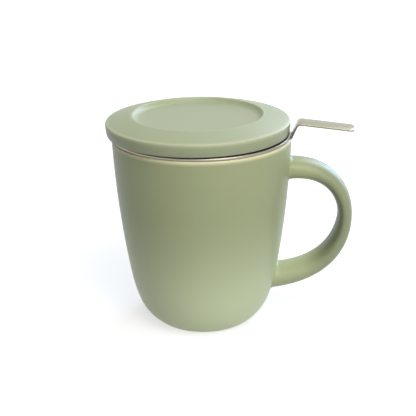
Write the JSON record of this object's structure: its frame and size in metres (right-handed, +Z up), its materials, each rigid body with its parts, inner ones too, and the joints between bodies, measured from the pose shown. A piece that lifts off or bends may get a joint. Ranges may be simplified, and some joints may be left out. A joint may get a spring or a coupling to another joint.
{
  "type": "lidded tea mug with infuser",
  "caption": "Handled stoneware tea mug with a lift-off dished lid over a lift-out perforated steel infuser basket that has a bent lifting tab.",
  "frame": {"origin": "centre of the foot ring on the table, on the mug's axis", "axes": "+Z up along the mug's axis, +X towards the handle and the infuser's tab"},
  "size_m": [0.1271, 0.0942, 0.1116],
  "materials": {
    "mug_glaze": "satin sage-green glaze on stoneware",
    "lid_glaze": "satin sage-green glaze on stoneware",
    "infuser_steel": "satin stainless steel sheet",
    "tab_steel": "brushed stainless steel strip with polished edges"
  },
  "bodies": {
    "mug": {"mug_body": "mug_glaze", "mug_handle": "mug_glaze"},
    "infuser": {"infuser_rim": "infuser_steel", "infuser_wall": "infuser_steel", "infuser_base": "infuser_steel", "infuser_tab": "tab_steel"},
    "lid": {"lid": "lid_glaze"}
  },
  "joints": [
    {"name": "infuser_lift", "type": "slide", "parent": "mug", "child": "infuser", "axis": [0, 0, 1], "range_m": [0, 0.09]},
    {"name": "lid_lift", "type": "slide", "parent": "infuser", "child": "lid", "axis": [0, 0, 1], "range_m": [0, 0.06]}
  ]
}
